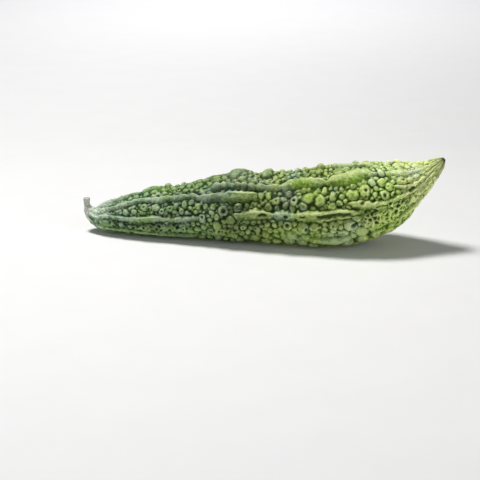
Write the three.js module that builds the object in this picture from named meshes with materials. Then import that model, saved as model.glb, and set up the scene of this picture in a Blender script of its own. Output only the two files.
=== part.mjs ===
// A bitter gourd: one spindle-shaped green fruit that lies on its side. Broken ribs run from its short bent
// stalk to a beak that turns up, and round warts of many sizes cover the skin between them.
// Millimetres. +X runs from the stalk to the beak, -Y faces the viewer and +Z is up. It rests on z = 0.

import * as THREE from "three";
import { ConvexHull } from "three/addons/math/ConvexHull.js";

const { clamp, degToRad, radToDeg, smoothstep } = THREE.MathUtils;

// The fruit's form. "along" is a place's distance along the fruit, and the same as x except on the stalk,
// which bends up. radius is measured over the ribs, rib is their height above the skin and half is their
// half-width.
const STATIONS = [
  // along, x, y, z, radius, rib, half
  [-127, -118.1, -1.6, 23.2, 2.3, 0.2, 0.5],
  [-122, -118.0, -1.6, 18.8, 2.1, 0.2, 0.5],
  [-118, -116.8, -1.6, 15.0, 3.8, 0.4, 0.8],
  [-114, -113.8, -1.6, 12.2, 6.4, 0.8, 1.3],
  [-109, -109.0, -1.7, 11.0, 9.1, 1.2, 1.8],
  [-103, -103.0, -1.8, 11.1, 11.1, 1.6, 1.7],
  [-96, -96.0, -1.8, 12.0, 12.8, 2.0, 1.9],
  [-83, -83.0, -1.6, 14.0, 15.4, 2.5, 2.1],
  [-63, -63.0, -1.2, 16.4, 18.0, 2.8, 2.4],
  [-43, -43.0, -0.9, 18.4, 20.1, 3.0, 2.7],
  [-23, -23.0, -0.9, 21.4, 23.3, 3.2, 3.1],
  [0, 0.0, -1.0, 22.9, 24.8, 3.4, 3.4],
  [25, 25.0, -0.8, 24.0, 26.0, 3.5, 3.4],
  [50, 50.0, -0.2, 26.2, 28.2, 3.6, 3.4],
  [64, 64.0, 0.4, 29.5, 27.2, 3.4, 3.2],
  [77, 77.0, 1.2, 33.5, 25.5, 3.0, 2.9],
  [87, 87.0, 2.0, 37.9, 21.9, 2.6, 2.5],
  [96, 96.0, 2.9, 42.9, 17.0, 2.2, 2.0],
  [104, 104.0, 3.6, 47.4, 12.2, 1.7, 1.6],
  [110.5, 110.5, 4.2, 52.2, 8.4, 1.2, 1.2],
  [116, 116.0, 4.7, 56.9, 5.0, 0.7, 0.8],
  [119.5, 119.5, 5.0, 60.3, 1.4, 0.2, 0.4],
];
const STALK_END = STATIONS[0][0];
const BEAK_END = STATIONS.at(-1)[0];

// The level that the fruit rests on, in the same heights. What would reach lower is pressed flat by its
// weight.
const REST_LEVEL = 0.13;

// The ribs, in order from behind the top, down the viewer's side and round under the fruit. turns gives a
// rib's angle in degrees at places along it, where 0 faces the viewer and 90 is the top. Warts break it at
// its gaps, and along its swells it is broader by a share of its width, or narrower where that is below 0.
const RIBS = [
  {
    turns: [[-127, 140], [-103, 140], [-60, 130], [-30, 113], [0, 108], [30, 108], [50, 99], [62, 93],
      [77, 86], [104, 84], [119, 84]],
    gaps: [[-88, -74], [-3, 30], [84, 104]],
  },
  {
    turns: [[-127, 90], [-103, 80], [-90, 82], [-79, 90], [-62, 98], [-32, 58], [-20, 56], [-2, 53], [10, 53],
      [23, 56], [32, 58], [48, 54], [66, 57], [77, 60], [88, 54], [99, 43], [119, 40]],
    gaps: [[-62, -30]],
    swells: [[-1, 16, -0.3], [17, 47, 0.35], [50, 82, 0.35]],
  },
  {
    turns: [[-127, 52], [-103, 46], [-92, 47], [-78, 52], [-64, 48], [-50, 51], [-41, 48], [-32, 37],
      [-22, 35], [-8, 35], [0, 38], [90, 20], [99, 4], [119, 2]],
    gaps: [[2, 91]],
    swells: [[-34, -4, 0.2]],
  },
  {
    turns: [[-127, 10], [-115, 9], [-104, 17], [-97, 12], [-90, 4], [-70, 3], [-50, -2], [-38, -1], [-10, 4],
      [30, 4], [50, 4], [64, 0], [119, 0]],
    gaps: [[-37, -15], [67, 130]],
    swells: [[-84, -38, -0.3], [26, 66, 0.3]],
  },
  { turns: [[-127, 16], [60, 16], [68, 11], [77, 5], [87, -4], [97, -11], [119, -13]], gaps: [[-130, 62]] },
  {
    turns: [[-127, -30], [-103, -34], [-91, -39], [-76, -44], [-45, -50], [0, -46], [64, -42], [80, -44],
      [92, -50], [100, -60], [119, -52]],
    gaps: [[-42, 34], [58, 82]],
  },
  { turns: [[-127, -68], [-103, -71], [-70, -75], [56, -74], [90, -84], [119, -88]], gaps: [] },
  { turns: [[-127, -106], [-103, -108], [-70, -109], [56, -109], [90, -120], [119, -124]], gaps: [] },
  {
    turns: [[-127, -149], [-103, -150], [-40, -154], [30, -151], [90, -163], [119, -168]],
    gaps: [[-50, -30], [28, 44]],
  },
  {
    turns: [[-127, -190], [-103, -189], [-60, -193], [-10, -200], [40, -202], [90, -214], [119, -218]],
    gaps: [[-14, 8], [66, 78]],
  },
];
const GAP_FADE = 7;
const RIB_ROUNDNESS = 2.4;

// The warts that stand out most: along, angle, radius.
const LARGE_WARTS = [
  // Between the third and fourth ribs, from the stalk to the beak.
  [-88, 24, 2.4], [-82, 37, 1.5], [-82, 23, 1.9], [-75, 32, 2.7], [-76, 19, 2.1], [-70, 17, 1.4],
  [-67, 29, 2.8], [-63, 19, 2.3], [-60, 36, 1.4], [-57, 24, 2.4], [-54, 17, 1.8], [-53, 30, 2.2],
  [-49, 18, 2.1], [-47, 32, 2.5], [-43, 23, 1.5], [-42, 35, 2], [-39, 14, 1.6], [-37, 25, 2.1],
  [-32, 23, 1.9], [-27, 20, 2], [-28, 10, 1.8], [-35, 0, 2.8], [-25, 1, 2.2], [-16, -4, 3.2],
  [-20, 12, 3.3], [-11, 17, 3.3], [-18, 23, 1.9], [-5, 20, 1.8], [1, 22, 1.5], [5, 25, 1.4],
  [14, 29, 2.7], [9, 18, 2.9], [15, 17, 1.8], [20, 22, 2.4], [19, 31, 2.2], [22, 41, 2.4], [26, 29, 3],
  [16, 41, 1.5], [29, 40, 1.5], [32, 19, 3], [35, 32, 3.8], [43, 27, 3.8], [40, 38, 1.7], [46, 41, 2.6],
  [51, 44, 1.7], [55, 43, 1.6], [59, 40, 1.7], [52, 31, 3.2], [56, 20, 2], [51, 17, 2.7], [60, 22, 1.5],
  [65, 28, 3.9], [73, 30, 3.9], [79, 20, 2], [84, 13, 3.1], [79, 41, 2.9], [85, 37, 2.6], [88, 25, 2.6],
  [91, 31, 1.6], [96, 27, 3.2],
  // Below the fourth rib.
  [-1, -9, 2], [-8, -19, 2], [-13, -20, 2], [8, -13, 1.9], [13, -13, 1.7], [21, -11, 3], [31, -16, 3.9],
  [38, -14, 2.9], [45, -10, 2], [50, -12, 3.2], [59, -15, 3.9], [64, -8, 2.3], [66, -20, 1.7],
  [73, -30, 2], [13, -34, 2], [23, -32, 4], [40, -31, 2.2],
  // Above the second rib, up to the top.
  [-69, 64, 1.7], [-66, 70, 2], [-61, 67, 1.8], [-61, 102, 2.3], [-55, 79, 2], [-50, 82, 2.3],
  [-45, 82, 2], [-42, 67, 1.7], [-39, 74, 2], [-36, 78, 2], [-33, 51, 1.8], [-29, 50, 1.7], [-29, 69, 2],
  [-25, 77, 2.7], [-21, 83, 2.2], [-15, 86, 3.3], [-10, 78, 2.7], [-18, 67, 2], [-5, 86, 2], [0, 82, 2],
  [6, 88, 3.7], [7, 65, 2], [12, 73, 2], [18, 72, 1.7], [15, 82, 2], [20, 86, 2], [24, 82, 2],
  [28, 88, 2], [33, 78, 2.4], [38, 76, 1.7], [42, 81, 3], [47, 76, 1.7], [51, 86, 2.4], [63, 80, 2.4],
  [84, 79, 2], [88, 75, 1.7], [92, 90, 2], [96, 82, 2], [99, 76, 1.9], [104, 88, 1.8],
];

// The usual radius of the warts that fill the rest: along, radius.
const WART_RADIUS = [
  [-112, 1.2], [-96, 1.8], [-60, 2.2], [-20, 2.7], [20, 3.1], [60, 3.5], [80, 3], [96, 2.1], [112, 1.2],
];
const SMALL_WART = 1.8;
const WART_ROUNDNESS = 2.8;
const REACH = 10;
const TRIES = 5200;
const SEED = 20;

// Broad low swellings of the skin: along, angle, radius, height.
const SWELLINGS = [[-71, 125, 9, 2], [-12, 106, 11, 2.4]];

// The warts between the ribs that carry the fruit's weight stay low.
const UNDERSIDE = { middle: -90, halfTurn: 22, wartHeight: 0.6 };
const WART_HEIGHT = 0.95;

// Where the surface's vertices stand: in lines along each rib, given in half-widths from its crest, in rings
// at both ends, and on each wart's top, shoulder and foot.
const RIB_LINES = [-1.04, -0.55, 0, 0.55, 1.04];
const RIB_STEP = 6.4;
const RIBS_FROM = -115;
const RIBS_TO = 117;
const END_RINGS = [-126.9, -123.5, -120, -117.4, 118.6];
const RING_CORNERS = 8;
const WIDE_WART = 3;
const SHOULDER = 0.62;
const FOOT = 1.06;
const FOOT_GAP = 1.8;
const PASS_GAP = 0.8;

// A smooth curve through a table's rows: every column as a function of the first one.
function smoothRow(rows, x) {
  const last = rows.length - 1;
  const i = clamp(rows.findLastIndex((row) => row[0] <= x), 0, last - 1);
  const [a, b] = [rows[i], rows[i + 1]];
  const [before, after] = [rows[Math.max(i - 1, 0)], rows[Math.min(i + 2, last)]];
  const span = b[0] - a[0];
  const t = clamp((x - a[0]) / span, 0, 1);
  return a.map((value, k) => {
    const slopeA = ((b[k] - before[k]) / (b[0] - before[0])) * span;
    const slopeB = ((after[k] - value) / (after[0] - a[0])) * span;
    const start = value * (1 + 2 * t) * (1 - t) ** 2 + slopeA * t * (1 - t) ** 2;
    return start + b[k] * t * t * (3 - 2 * t) + slopeB * t * t * (t - 1);
  });
}

function stationAt(along) {
  const [, x, y, z, radius, rib, half] = smoothRow(STATIONS, along);
  return { axis: new THREE.Vector3(x, y, z), skin: radius - rib, rib, half };
}

// A place on the skin. stretch is how far the axis goes for each millimetre of along.
function place(along, angle, radius = 0) {
  const station = stationAt(along);
  const step = 0.5;
  const stretch = stationAt(along + step).axis.distanceTo(station.axis) / step;
  return { along, angle, radius, stretch, skin: station.skin, rib: station.rib };
}

// From angle b to angle a the short way round, in degrees.
const turnBetween = (a, b) => ((((a - b) % 360) + 540) % 360) - 180;

// The distance over the skin between two places, in mm.
const apart = (a, b) =>
  Math.hypot((a.along - b.along) * a.stretch, degToRad(turnBetween(a.angle, b.angle)) * a.skin);

const near = (a, b) => Math.abs(a.along - b.along) < REACH;

// Numbers from 0 up to 1, the same on every run.
function randomSource(seed) {
  let state = seed;
  return () => {
    state = (Math.imul(state, 1664525) + 1013904223) >>> 0;
    return state / 2 ** 32;
  };
}

// A slow rise and fall along a rib, from -1 to 1, different for each phase.
const ripple = (along, phase) =>
  0.6 * Math.sin(along / 8.5 + 1.9 * phase) + 0.4 * Math.sin(along / 3.9 + 2.7 * phase);

// How much of a rib stands at this place, from 0 in a gap to 1.
const presence = (rib, along) =>
  rib.gaps.reduce((share, [start, end]) => {
    const inside = Math.min(along - start, end - along);
    return share * (1 - smoothstep(inside, -GAP_FADE / 2, GAP_FADE / 2));
  }, 1);

const ribAngle = (index, along) => smoothRow(RIBS[index].turns, along)[1] + 1.5 * ripple(along, index + 4);

// A rib's half-width, which swells and shrinks a little and tapers towards a gap.
function ribHalf(index, along, station) {
  const { swells = [] } = RIBS[index];
  const broader = swells.reduce((sum, [start, end, share]) => {
    const part = clamp((along - start) / (end - start), 0, 1);
    return sum + share * Math.sin(Math.PI * part);
  }, 1);
  const taper = 0.4 + 0.6 * presence(RIBS[index], along);
  return station.half * broader * taper * (1 + 0.16 * ripple(along, index + 9));
}

// The ribs' height above the skin at this place, and how far outside the nearest rib the place lies, in mm.
function ribsAt(along, angle) {
  const station = stationAt(along);
  let height = 0;
  let clear = Infinity;
  RIBS.forEach((rib, index) => {
    const share = presence(rib, along);
    if (share === 0) return;
    const across = Math.abs(degToRad(turnBetween(angle, ribAngle(index, along)))) * station.skin;
    const half = ribHalf(index, along, station);
    const crest = station.rib * share * (0.84 + 0.16 * ripple(along, index));
    height = Math.max(height, crest * (1 - (across / half) ** RIB_ROUNDNESS));
    if (share > 0.4) clear = Math.min(clear, across - half);
  });
  return { height, clear };
}

// The large warts, then others thrown at random wherever neither a rib nor a wart is in the way. The first
// half of the tries are of the usual size and the others are smaller.
function growWarts() {
  const random = randomSource(SEED);
  const warts = LARGE_WARTS.map((row) => place(...row));
  const [first, last] = [WART_RADIUS[0][0], WART_RADIUS.at(-1)[0]];
  for (let i = 0; i < TRIES; i++) {
    const along = first + (last - first) * random();
    const angle = 360 * random();
    const share = i < TRIES / 2 ? 0.85 + 0.35 * random() : 0.6 + 0.25 * random();
    const usual = smoothRow(WART_RADIUS, along)[1];
    const radius = Math.max(usual * share, Math.min(usual, SMALL_WART));
    if (ribsAt(along, angle).clear < 0.7 * radius) continue;
    const wart = place(along, angle, radius);
    if (warts.every((other) => apart(wart, other) > 0.98 * (radius + other.radius))) warts.push(wart);
  }
  return warts;
}

const WARTS = growWarts();

function wartHeight(wart) {
  const under = Math.abs(turnBetween(wart.angle, UNDERSIDE.middle)) < UNDERSIDE.halfTurn;
  return Math.min(0.85 * wart.radius, (under ? UNDERSIDE.wartHeight : WART_HEIGHT) * wart.rib);
}

// The height of the relief at this place: the highest of the ribs and warts there, on top of any swelling.
function relief(spot) {
  const warts = WARTS.filter((wart) => near(wart, spot)).map(
    (wart) => wartHeight(wart) * (1 - (apart(spot, wart) / wart.radius) ** WART_ROUNDNESS),
  );
  const swellings = SWELLINGS.map(([along, angle, radius, height]) => {
    const share = Math.min(apart(spot, { along, angle }) / radius, 1);
    return height * (1 - share ** 2) ** 2;
  });
  return Math.max(ribsAt(spot.along, spot.angle).height, ...warts) + Math.max(...swellings);
}

// Places in a ring round a wart, at a share of its radius. Each ring starts at its own turn.
function around(wart, count, share, start) {
  const reach = share * wart.radius;
  return Array.from({ length: count }, (_, k) => {
    const turn = (2 * Math.PI * (k + 0.31 * start)) / count;
    const angle = wart.angle + radToDeg((reach * Math.sin(turn)) / wart.skin);
    return place(wart.along + (reach * Math.cos(turn)) / wart.stretch, angle);
  });
}

// The bottoms between the warts: first where two of them nearly touch, then round each one's foot.
function pickValleys() {
  const valleys = [];
  const add = (spot, share, gap) => {
    const inWart = WARTS.some((wart) => near(wart, spot) && apart(spot, wart) < share * wart.radius);
    const inRib = ribsAt(spot.along, spot.angle).clear < 0.4;
    const taken = valleys.some((other) => near(other, spot) && apart(spot, other) < gap);
    if (!inWart && !inRib && !taken) valleys.push(spot);
  };
  WARTS.forEach((wart, index) => {
    WARTS.slice(0, index).forEach((other) => {
      if (!near(wart, other) || apart(wart, other) > wart.radius + other.radius + PASS_GAP) return;
      const share = wart.radius / (wart.radius + other.radius);
      const angle = wart.angle + share * turnBetween(other.angle, wart.angle);
      add(place(wart.along + share * (other.along - wart.along), angle), 0.85, PASS_GAP);
    });
  });
  WARTS.forEach((wart, index) => around(wart, 7, FOOT, index).forEach((spot) => add(spot, 1, FOOT_GAP)));
  return valleys;
}

// The places where the surface turns: these become its vertices.
function pickPlaces() {
  const ringTurn = (k, index) => (360 * (k + 0.5 * (index % 2))) / RING_CORNERS;
  const places = END_RINGS.flatMap((along, index) =>
    Array.from({ length: RING_CORNERS }, (_, k) => place(along, ringTurn(k, index))),
  );
  for (let along = RIBS_FROM; along < RIBS_TO; ) {
    const station = stationAt(along);
    RIBS.forEach((rib, index) => {
      if (presence(rib, along) < 0.15) return;
      const halfTurn = radToDeg(ribHalf(index, along, station) / station.skin);
      RIB_LINES.forEach((line) => places.push(place(along, ribAngle(index, along) + line * halfTurn)));
    });
    along += Math.min(RIB_STEP, 1.4 + 0.3 * station.skin);
  }
  WARTS.forEach((wart, index) => {
    places.push(wart, ...around(wart, wart.radius > WIDE_WART ? 7 : 5, SHOULDER, index));
  });
  return [...places, ...pickValleys()];
}

// Where a place is in space, with the skin raised there by height.
function pointAt({ along, angle }, height) {
  const { axis, skin } = stationAt(along);
  const step = 0.5;
  const tangent = stationAt(along + step).axis.sub(stationAt(along - step).axis).normalize();
  const front = new THREE.Vector3(0, -1, 0);
  front.addScaledVector(tangent, -front.dot(tangent)).normalize();
  const top = new THREE.Vector3().crossVectors(front, tangent);
  const turn = degToRad(angle);
  const out = front.multiplyScalar(Math.cos(turn)).addScaledVector(top, Math.sin(turn));
  return axis.addScaledVector(out, skin + height);
}

// The distance along the fruit in units of its radius, from its middle. With the angle it lays the skin on a
// ball in a way that keeps small shapes, so that the ball's hull joins neighbours by well-shaped triangles.
function makeBallMap() {
  const step = 0.25;
  const sums = [0];
  for (let along = STALK_END; along < BEAK_END; along += step) {
    const here = place(along, 0);
    sums.push(sums.at(-1) + (step * here.stretch) / here.skin);
  }
  const middle = sums.at(-1) / 2;
  return ({ along, angle }) => {
    const i = clamp((along - STALK_END) / step, 0, sums.length - 1.001);
    const low = Math.floor(i);
    const far = sums[low] + (i - low) * (sums[low + 1] - sums[low]) - middle;
    const turn = degToRad(angle);
    return new THREE.Vector3(
      Math.tanh(far),
      -Math.cos(turn) / Math.cosh(far),
      Math.sin(turn) / Math.cosh(far),
    );
  };
}

function makeGourd() {
  const places = pickPlaces();
  const ball = places.map(makeBallMap());
  const skin = places.map((spot) => pointAt(spot, relief(spot)));
  // The middle of the stalk's cut and the tip of the beak are the ball's two poles.
  ball.push(new THREE.Vector3(-1, 0, 0), new THREE.Vector3(1, 0, 0));
  skin.push(stationAt(STALK_END).axis, stationAt(BEAK_END).axis);

  skin.forEach((point) => {
    point.z = Math.max(point.z - REST_LEVEL, 0);
  });

  const number = new Map(ball.map((point, i) => [point, i]));
  const hull = new ConvexHull().setFromPoints(ball);
  const cornersOf = (face) => [0, 1, 2].map((k) => number.get(face.getEdge(k).head().point));
  const geometry = new THREE.BufferGeometry().setFromPoints(skin);
  geometry.setIndex(hull.faces.flatMap(cornersOf));
  geometry.computeVertexNormals();
  return geometry;
}

const green = new THREE.MeshStandardMaterial({ color: 0x7f9f4a, roughness: 0.5 });
const gourd = new THREE.Mesh(makeGourd(), green);
gourd.name = "gourd";

const root = new THREE.Group();
root.name = "bitter_gourd";
root.add(gourd);

export default root;
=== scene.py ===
"""A bitter gourd on a pale floor: its fine mesh, skin material, lights and camera.

Lengths are millimetres, as in the part's own source, but metres for the floor, the lamps and the camera.
"""

import math

import bpy
import numpy as np
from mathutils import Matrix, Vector, noise


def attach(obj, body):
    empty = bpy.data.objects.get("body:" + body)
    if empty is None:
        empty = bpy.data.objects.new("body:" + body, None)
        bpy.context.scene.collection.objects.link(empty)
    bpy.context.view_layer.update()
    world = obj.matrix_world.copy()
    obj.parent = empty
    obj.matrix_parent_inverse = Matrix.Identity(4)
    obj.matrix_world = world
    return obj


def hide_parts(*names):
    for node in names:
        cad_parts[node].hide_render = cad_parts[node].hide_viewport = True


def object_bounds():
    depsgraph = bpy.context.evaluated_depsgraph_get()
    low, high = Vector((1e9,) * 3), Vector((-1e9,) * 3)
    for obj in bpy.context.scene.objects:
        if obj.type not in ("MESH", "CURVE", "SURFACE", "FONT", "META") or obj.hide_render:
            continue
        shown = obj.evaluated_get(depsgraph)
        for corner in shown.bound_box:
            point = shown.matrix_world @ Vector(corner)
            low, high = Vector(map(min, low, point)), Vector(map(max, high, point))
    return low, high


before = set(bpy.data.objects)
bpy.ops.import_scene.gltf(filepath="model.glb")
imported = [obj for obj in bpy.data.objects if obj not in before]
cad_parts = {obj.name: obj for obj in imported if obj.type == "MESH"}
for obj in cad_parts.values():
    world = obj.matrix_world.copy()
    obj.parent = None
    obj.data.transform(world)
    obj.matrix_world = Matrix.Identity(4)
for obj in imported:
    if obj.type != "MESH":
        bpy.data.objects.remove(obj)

CAD_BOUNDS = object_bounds()
MM = 0.001

# The fruit's form. "along" is a place's distance along the fruit, and the same as x except on the stalk.
# radius is measured over the ribs, rib is their height above the skin and half is their half-width.
STATIONS = [
    # along, x, y, z, radius, rib, half
    [-127, -118.1, -1.6, 23.2, 2.3, 0.2, 0.5],
    [-122, -118, -1.6, 18.8, 2.1, 0.2, 0.5],
    [-118, -116.8, -1.6, 15, 3.8, 0.4, 0.8],
    [-114, -113.8, -1.6, 12.2, 6.4, 0.8, 1.3],
    [-109, -109, -1.7, 11, 9.1, 1.2, 1.8],
    [-103, -103, -1.8, 11.1, 11.1, 1.6, 1.7],
    [-96, -96, -1.8, 12, 12.8, 2, 1.9],
    [-83, -83, -1.6, 14, 15.4, 2.5, 2.1],
    [-63, -63, -1.2, 16.4, 18, 2.8, 2.4],
    [-43, -43, -0.9, 18.4, 20.1, 3, 2.7],
    [-23, -23, -0.9, 21.4, 23.3, 3.2, 3.1],
    [0, 0, -1, 22.9, 24.8, 3.4, 3.4],
    [25, 25, -0.8, 24, 26, 3.5, 3.4],
    [50, 50, -0.2, 26.2, 28.2, 3.6, 3.4],
    [64, 64, 0.4, 29.5, 27.2, 3.4, 3.2],
    [77, 77, 1.2, 33.5, 25.5, 3, 2.9],
    [87, 87, 2, 37.9, 21.9, 2.6, 2.5],
    [96, 96, 2.9, 42.9, 17, 2.2, 2],
    [104, 104, 3.6, 47.4, 12.2, 1.7, 1.6],
    [110.5, 110.5, 4.2, 52.2, 8.4, 1.2, 1.2],
    [116, 116, 4.7, 56.9, 5, 0.7, 0.8],
    [119.5, 119.5, 5, 60.3, 1.4, 0.2, 0.4],
]
STALK_END = STATIONS[0][0]
BEAK_END = STATIONS[-1][0]
# The level that the fruit rests on. What would reach lower is pressed flat.
REST_LEVEL = 0.13

# The ribs. turns gives a rib's angle in degrees at places along it: 0 faces the viewer and 90 is the top.
# Warts break it at its gaps, and along its swells it is broader by a share of its width, or narrower.
RIBS = [
    {
        "turns": [[-127, 140], [-103, 140], [-60, 130], [-30, 113], [0, 108], [30, 108], [50, 99],
                  [62, 93], [77, 86], [104, 84], [119, 84]],
        "gaps": [[-88, -74], [-3, 30], [84, 104]],
    },
    {
        "turns": [[-127, 90], [-103, 80], [-90, 82], [-79, 90], [-62, 98], [-32, 58], [-20, 56], [-2, 53],
                  [10, 53], [23, 56], [32, 58], [48, 54], [66, 57], [77, 60], [88, 54], [99, 43],
                  [119, 40]],
        "gaps": [[-62, -30]],
        "swells": [[-1, 16, -0.3], [17, 47, 0.35], [50, 82, 0.35]],
    },
    {
        "turns": [[-127, 52], [-103, 46], [-92, 47], [-78, 52], [-64, 48], [-50, 51], [-41, 48],
                  [-32, 37], [-22, 35], [-8, 35], [0, 38], [90, 20], [99, 4], [119, 2]],
        "gaps": [[2, 91]],
        "swells": [[-34, -4, 0.2]],
    },
    {
        "turns": [[-127, 10], [-115, 9], [-104, 17], [-97, 12], [-90, 4], [-70, 3], [-50, -2], [-38, -1],
                  [-10, 4], [30, 4], [50, 4], [64, 0], [119, 0]],
        "gaps": [[-37, -15], [67, 130]],
        "swells": [[-84, -38, -0.3], [26, 66, 0.3]],
    },
    {
        "turns": [[-127, 16], [60, 16], [68, 11], [77, 5], [87, -4], [97, -11], [119, -13]],
        "gaps": [[-130, 62]],
    },
    {
        "turns": [[-127, -30], [-103, -34], [-91, -39], [-76, -44], [-45, -50], [0, -46], [64, -42],
                  [80, -44], [92, -50], [100, -60], [119, -52]],
        "gaps": [[-42, 34], [58, 82]],
    },
    {"turns": [[-127, -68], [-103, -71], [-70, -75], [56, -74], [90, -84], [119, -88]], "gaps": []},
    {"turns": [[-127, -106], [-103, -108], [-70, -109], [56, -109], [90, -120], [119, -124]], "gaps": []},
    {
        "turns": [[-127, -149], [-103, -150], [-40, -154], [30, -151], [90, -163], [119, -168]],
        "gaps": [[-50, -30], [28, 44]],
    },
    {
        "turns": [[-127, -190], [-103, -189], [-60, -193], [-10, -200], [40, -202], [90, -214],
                  [119, -218]],
        "gaps": [[-14, 8], [66, 78]],
    },
]
GAP_FADE = 7

# The warts that stand out most: along, angle, radius.
LARGE_WARTS = [
    # Between the third and fourth ribs, from the stalk to the beak.
    [-88, 24, 2.4], [-82, 37, 1.5], [-82, 23, 1.9], [-75, 32, 2.7], [-76, 19, 2.1], [-70, 17, 1.4],
    [-67, 29, 2.8], [-63, 19, 2.3], [-60, 36, 1.4], [-57, 24, 2.4], [-54, 17, 1.8], [-53, 30, 2.2],
    [-49, 18, 2.1], [-47, 32, 2.5], [-43, 23, 1.5], [-42, 35, 2], [-39, 14, 1.6], [-37, 25, 2.1],
    [-32, 23, 1.9], [-27, 20, 2], [-28, 10, 1.8], [-35, 0, 2.8], [-25, 1, 2.2], [-16, -4, 3.2],
    [-20, 12, 3.3], [-11, 17, 3.3], [-18, 23, 1.9], [-5, 20, 1.8], [1, 22, 1.5], [5, 25, 1.4],
    [14, 29, 2.7], [9, 18, 2.9], [15, 17, 1.8], [20, 22, 2.4], [19, 31, 2.2], [22, 41, 2.4], [26, 29, 3],
    [16, 41, 1.5], [29, 40, 1.5], [32, 19, 3], [35, 32, 3.8], [43, 27, 3.8], [40, 38, 1.7], [46, 41, 2.6],
    [51, 44, 1.7], [55, 43, 1.6], [59, 40, 1.7], [52, 31, 3.2], [56, 20, 2], [51, 17, 2.7], [60, 22, 1.5],
    [65, 28, 3.9], [73, 30, 3.9], [79, 20, 2], [84, 13, 3.1], [79, 41, 2.9], [85, 37, 2.6], [88, 25, 2.6],
    [91, 31, 1.6], [96, 27, 3.2],
    # Below the fourth rib.
    [-1, -9, 2], [-8, -19, 2], [-13, -20, 2], [8, -13, 1.9], [13, -13, 1.7], [21, -11, 3], [31, -16, 3.9],
    [38, -14, 2.9], [45, -10, 2], [50, -12, 3.2], [59, -15, 3.9], [64, -8, 2.3], [66, -20, 1.7],
    [73, -30, 2], [13, -34, 2], [23, -32, 4], [40, -31, 2.2],
    # Above the second rib, up to the top.
    [-69, 64, 1.7], [-66, 70, 2], [-61, 67, 1.8], [-61, 102, 2.3], [-55, 79, 2], [-50, 82, 2.3],
    [-45, 82, 2], [-42, 67, 1.7], [-39, 74, 2], [-36, 78, 2], [-33, 51, 1.8], [-29, 50, 1.7], [-29, 69, 2],
    [-25, 77, 2.7], [-21, 83, 2.2], [-15, 86, 3.3], [-10, 78, 2.7], [-18, 67, 2], [-5, 86, 2], [0, 82, 2],
    [6, 88, 3.7], [7, 65, 2], [12, 73, 2], [18, 72, 1.7], [15, 82, 2], [20, 86, 2], [24, 82, 2],
    [28, 88, 2], [33, 78, 2.4], [38, 76, 1.7], [42, 81, 3], [47, 76, 1.7], [51, 86, 2.4], [63, 80, 2.4],
    [84, 79, 2], [88, 75, 1.7], [92, 90, 2], [96, 82, 2], [99, 76, 1.9], [104, 88, 1.8],
]
# Their usual radius: along, radius. Random ones are at least SMALL_WART, or the usual where that is less.
WART_RADIUS = [
    [-112, 1.2], [-96, 1.8], [-60, 2.2], [-20, 2.7], [20, 3.1], [60, 3.5], [80, 3], [96, 2.1], [112, 1.2],
]
SMALL_WART = 1.8
WART_TRIES = 5200
WART_SEED = 20
# How high they may stand, as a share of the ribs' height, and how high on the underside.
WART_HEIGHT = 0.95
UNDERSIDE = {"middle": -90, "half_turn": 22, "wart_height": 0.6}
# Broad swellings: along, angle, radius, height.
SWELLINGS = [[-71, 125, 9, 2], [-12, 106, 11, 2.4]]

# Pebbles fill what the warts leave free. They are too small for the part's solid.
PEBBLE_TRIES = 26000
PEBBLE_SEED = 7
DETAIL_SEED = 11
NIP_SEED = 5
FOLD_SEED = 3
# Domes are drawn this much larger than their room, near the stalk and further on, to meet in a crease.
WART_SPREAD = (1.1, 1.13)
PEBBLE_SPREAD = (1.02, 1.16)
CREASE_WIDTH = 0.6
CREASE_DEPTH = 1.25
# The crest of a rib that is in view stands nearer its upper edge by this share of its half-width.
LEANING_RIBS = (1, 2, 3, 4)
RIB_LEAN = 0.35
# Where a rib swells into a blister: rib, start, end, how far above its line, how much broader.
BLISTERS = [
    (0, -22, -6, -2.5, 2.5), (1, -114, -60, 2.4, 1.8), (1, -32, 1, 0.4, 1.3), (1, 17, 47, 0.8, 0.6),
    (1, 50, 82, 1.6, 1.8), (1, 88, 101, 0, 0.9), (2, -34, -3, 0.8, 0.9), (3, -88, -40, -0.5, 0.9),
    (3, -14, 12, 0, 0.9), (3, 12, 27, 0.4, 0.8), (3, 36, 64, 0, 0.5),
]
# Lumps on the ribs: along, angle, radius, height.
LUMPS = [
    (-25, 61, 3, 1), (-20, 59, 2.7, 1), (-15.5, 58, 2.6, 0.9), (-11.5, 57, 2.5, 0.9), (-7, 56, 2.6, 1),
    (-2.5, 54, 2.8, 0.9), (12, 5, 2.4, 0.6), (16.5, 8, 3.2, 1.2), (21, 2, 1.7, 0.5), (25, 8, 2.4, 0.7),
    (86.5, 55, 2.4, 0.7), (-96, 12, 3, 0.5), (-62, 47, 3, 0.4), (70, 12, 2.6, 0.7),
    (76.5, 11.5, 2.6, 0.7), (83, 3, 2.2, 0.5),
]
# Slits along a rib's crest: rib, start, end, half-width. Their lips stand up by a share of that, and their
# floors lie this deep, or less where the half-width is under 1 mm.
SLITS = [(3, 1, 9, 1), (3, 28, 34, 0.6), (3, 39, 63, 1.35)]
SLIT_LIP = 0.35
SLIT_DEPTH = 2.1
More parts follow.
